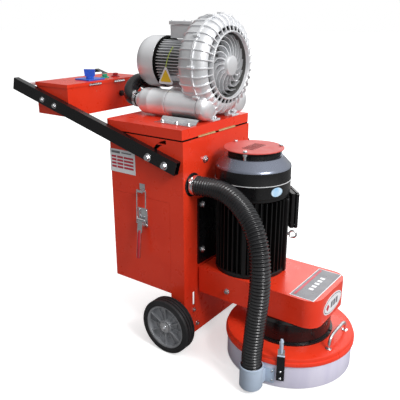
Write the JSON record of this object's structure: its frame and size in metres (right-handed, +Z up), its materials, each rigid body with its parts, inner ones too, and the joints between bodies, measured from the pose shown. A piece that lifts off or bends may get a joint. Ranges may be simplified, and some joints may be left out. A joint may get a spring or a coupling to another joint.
{
  "type": "concrete grinder",
  "caption": "Walk-behind planetary concrete grinder with a skirted head, upright motor, dust cabinet, lid-mounted ring blower, folding handle and control box.",
  "frame": {"origin": "bottom centre of the bounding box, on the floor", "axes": "+X towards the grinding head, +Z up, +Y to the machine's left"},
  "size_m": [1.3412, 0.566, 1.127],
  "materials": {
    "orange_red_paint": "glossy orange-red powder coat",
    "black_paint": "glossy black paint",
    "cast_aluminium": "cast aluminium, satin",
    "zinc": "bright zinc-plated steel",
    "tyre_rubber": "black moulded tyre rubber",
    "hose_rubber": "black ribbed hose rubber",
    "skirt_plastic": "off-white flexible skirt sheet",
    "port_plastic": "light grey moulded plastic",
    "cast_iron": "machined cast iron and steel",
    "filter_paper": "pleated filter medium",
    "blue_plastic": "blue switch plastic",
    "green_plastic": "green button plastic",
    "red_plastic": "red plastic",
    "fan_plastic": "black fan plastic"
  },
  "bodies": {
    "chassis": {"cabinet_body": "orange_red_paint", "dust_bin": "orange_red_paint", "filter_cartridge": "filter_paper", "latch_keeper_right": "zinc", "latch_keeper_left": "zinc", "latch_base_right": "zinc", "latch_base_left": "zinc", "dust_hose": "hose_rubber", "main_motor_frame": "black_paint", "motor_cowl": "black_paint", "rain_cap": "orange_red_paint", "motor_terminal_box": "black_paint", "motor_mount_plate": "black_paint", "belt_housing": "orange_red_paint", "drive_belt": "hose_rubber", "gearbox_housing": "black_paint", "shroud_cover": "orange_red_paint", "bow_handle": "zinc"},
    "axle_carriage": {"axle_bracket": "orange_red_paint", "axle": "zinc"},
    "wheel_right": {"tyre_right": "tyre_rubber", "wheel_hub_right": "cast_aluminium"},
    "wheel_left": {"tyre_left": "tyre_rubber", "wheel_hub_left": "cast_aluminium"},
    "handle": {"handle_bar_right": "black_paint", "handle_bar_left": "black_paint", "rear_cross_handle": "zinc", "control_box": "orange_red_paint"},
    "control_lid": {"control_box_lid": "orange_red_paint"},
    "selector": {"selector_switch_knob": "blue_plastic"},
    "start": {"start_button": "green_plastic"},
    "stop": {"stop_button": "red_plastic"},
    "latch_lever_r": {"latch_lever_right": "red_plastic"},
    "latch_bail_r": {"latch_bail_right": "zinc"},
    "latch_lever_l": {"latch_lever_left": "red_plastic"},
    "latch_bail_l": {"latch_bail_left": "zinc"},
    "lid": {"cabinet_lid": "orange_red_paint", "blower_suction_elbow": "hose_rubber", "blower_foot_plate": "zinc", "blower_rear_housing": "cast_aluminium", "blower_front_cover": "cast_aluminium", "blower_motor_frame": "cast_aluminium", "blower_fan_cover": "cast_aluminium", "blower_terminal_box": "cast_aluminium", "blower_muffler_right": "cast_aluminium", "blower_muffler_left": "cast_aluminium"},
    "blower_rotor": {"blower_impeller": "cast_aluminium", "blower_cooling_fan": "fan_plastic"},
    "motor_rotor": {"motor_shaft": "cast_iron", "motor_cooling_fan": "fan_plastic", "motor_pulley": "cast_iron"},
    "gearbox_pulley": {"driven_pulley": "cast_iron"},
    "disc": {"main_disc": "cast_iron"},
    "head_1": {"grinding_head_1": "cast_iron"},
    "head_2": {"grinding_head_2": "cast_iron"},
    "head_3": {"grinding_head_3": "cast_iron"},
    "skirt": {"dust_skirt": "skirt_plastic", "hose_port": "port_plastic", "skirt_latch_strap": "black_paint"},
    "skirt_hook": {"skirt_latch_hook": "zinc"}
  },
  "joints": [
    {"name": "axle_height", "type": "slide", "parent": "chassis", "child": "axle_carriage", "axis": [0, 0, 1], "range_m": [0, 0.06]},
    {"name": "wheel_right_spin", "type": "hinge", "parent": "axle_carriage", "child": "wheel_right", "pos_m": [0.10563, -0.23, 0.1], "axis": [0, 1, 0], "continuous": true},
    {"name": "wheel_left_spin", "type": "hinge", "parent": "axle_carriage", "child": "wheel_left", "pos_m": [0.10563, 0.258, 0.1], "axis": [0, 1, 0], "continuous": true},
    {"name": "handle_fold", "type": "hinge", "parent": "chassis", "child": "handle", "pos_m": [0.08363, 0.014, 0.668], "axis": [0, 1, 0], "range_deg": [0, 50]},
    {"name": "control_lid_open", "type": "hinge", "parent": "handle", "child": "control_lid", "pos_m": [-0.38037, 0.014, 0.877], "axis": [0, 1, 0], "range_deg": [0, 100]},
    {"name": "selector_turn", "type": "hinge", "parent": "control_lid", "child": "selector", "pos_m": [-0.44437, -0.016, 0.893], "axis": [0, 0, 1], "range_deg": [-60, 60]},
    {"name": "start_press", "type": "slide", "parent": "control_lid", "child": "start", "axis": [0, 0, -1], "range_m": [0, 0.004], "stiffness_N_per_m": 400},
    {"name": "stop_press", "type": "slide", "parent": "control_lid", "child": "stop", "axis": [0, 0, -1], "range_m": [0, 0.004], "stiffness_N_per_m": 400},
    {"name": "lid_open", "type": "hinge", "parent": "chassis", "child": "lid", "pos_m": [0.14063, 0.014, 0.7505], "axis": [0, 1, 0], "range_deg": [0, 70]},
    {"name": "blower_spin", "type": "hinge", "parent": "lid", "child": "blower_rotor", "pos_m": [0.10563, 0.07, 0.967], "axis": [1, 0, 0], "continuous": true},
    {"name": "latch_right_open", "type": "hinge", "parent": "chassis", "child": "latch_lever_r", "pos_m": [-0.03437, -0.199, 0.452], "axis": [-1, 0, 0], "range_deg": [0, 95]},
    {"name": "latch_right_bail", "type": "hinge", "parent": "latch_lever_r", "child": "latch_bail_r", "pos_m": [-0.03437, -0.199, 0.438], "axis": [-1, 0, 0], "range_deg": [-87, 0]},
    {"name": "latch_left_open", "type": "hinge", "parent": "chassis", "child": "latch_lever_l", "pos_m": [-0.03437, 0.227, 0.452], "axis": [1, 0, 0], "range_deg": [0, 95]},
    {"name": "latch_left_bail", "type": "hinge", "parent": "latch_lever_l", "child": "latch_bail_l", "pos_m": [-0.03437, 0.227, 0.438], "axis": [1, 0, 0], "range_deg": [-87, 0]},
    {"name": "skirt_float", "type": "slide", "parent": "chassis", "child": "skirt", "axis": [0, 0, 1], "range_m": [0, 0.015]},
    {"name": "skirt_hook_open", "type": "hinge", "parent": "skirt", "child": "skirt_hook", "pos_m": [0.52916, -0.19493, 0.1235], "axis": [0.9361, 0.3518, 0], "range_deg": [0, 60]},
    {"name": "disc_spin", "type": "hinge", "parent": "chassis", "child": "disc", "pos_m": [0.45063, 0.014, 0.068], "axis": [0, 0, 1], "continuous": true},
    {"name": "head_1_spin", "type": "hinge", "parent": "disc", "child": "head_1", "pos_m": [0.54563, 0.014, 0.028], "axis": [0, 0, 1], "continuous": true},
    {"name": "head_2_spin", "type": "hinge", "parent": "disc", "child": "head_2", "pos_m": [0.40313, 0.09627, 0.028], "axis": [0, 0, 1], "continuous": true},
    {"name": "head_3_spin", "type": "hinge", "parent": "disc", "child": "head_3", "pos_m": [0.40313, -0.06827, 0.028], "axis": [0, 0, 1], "continuous": true},
    {"name": "gearbox_pulley_spin", "type": "hinge", "parent": "chassis", "child": "gearbox_pulley", "pos_m": [0.45063, 0.014, 0.232], "axis": [0, 0, 1], "continuous": true},
    {"name": "motor_spin", "type": "hinge", "parent": "chassis", "child": "motor_rotor", "pos_m": [0.28463, 0.014, 0.232], "axis": [0, 0, 1], "continuous": true}
  ],
  "couplings": [
    {"joint": "latch_right_bail", "follows": "latch_right_open", "ratio": -0.91},
    {"joint": "latch_left_bail", "follows": "latch_left_open", "ratio": -0.91},
    {"joint": "head_1_spin", "follows": "disc_spin", "ratio": -2.5},
    {"joint": "head_2_spin", "follows": "disc_spin", "ratio": -2.5},
    {"joint": "head_3_spin", "follows": "disc_spin", "ratio": -2.5},
    {"joint": "gearbox_pulley_spin", "follows": "disc_spin", "ratio": 2},
    {"joint": "motor_spin", "follows": "disc_spin", "ratio": 3}
  ]
}
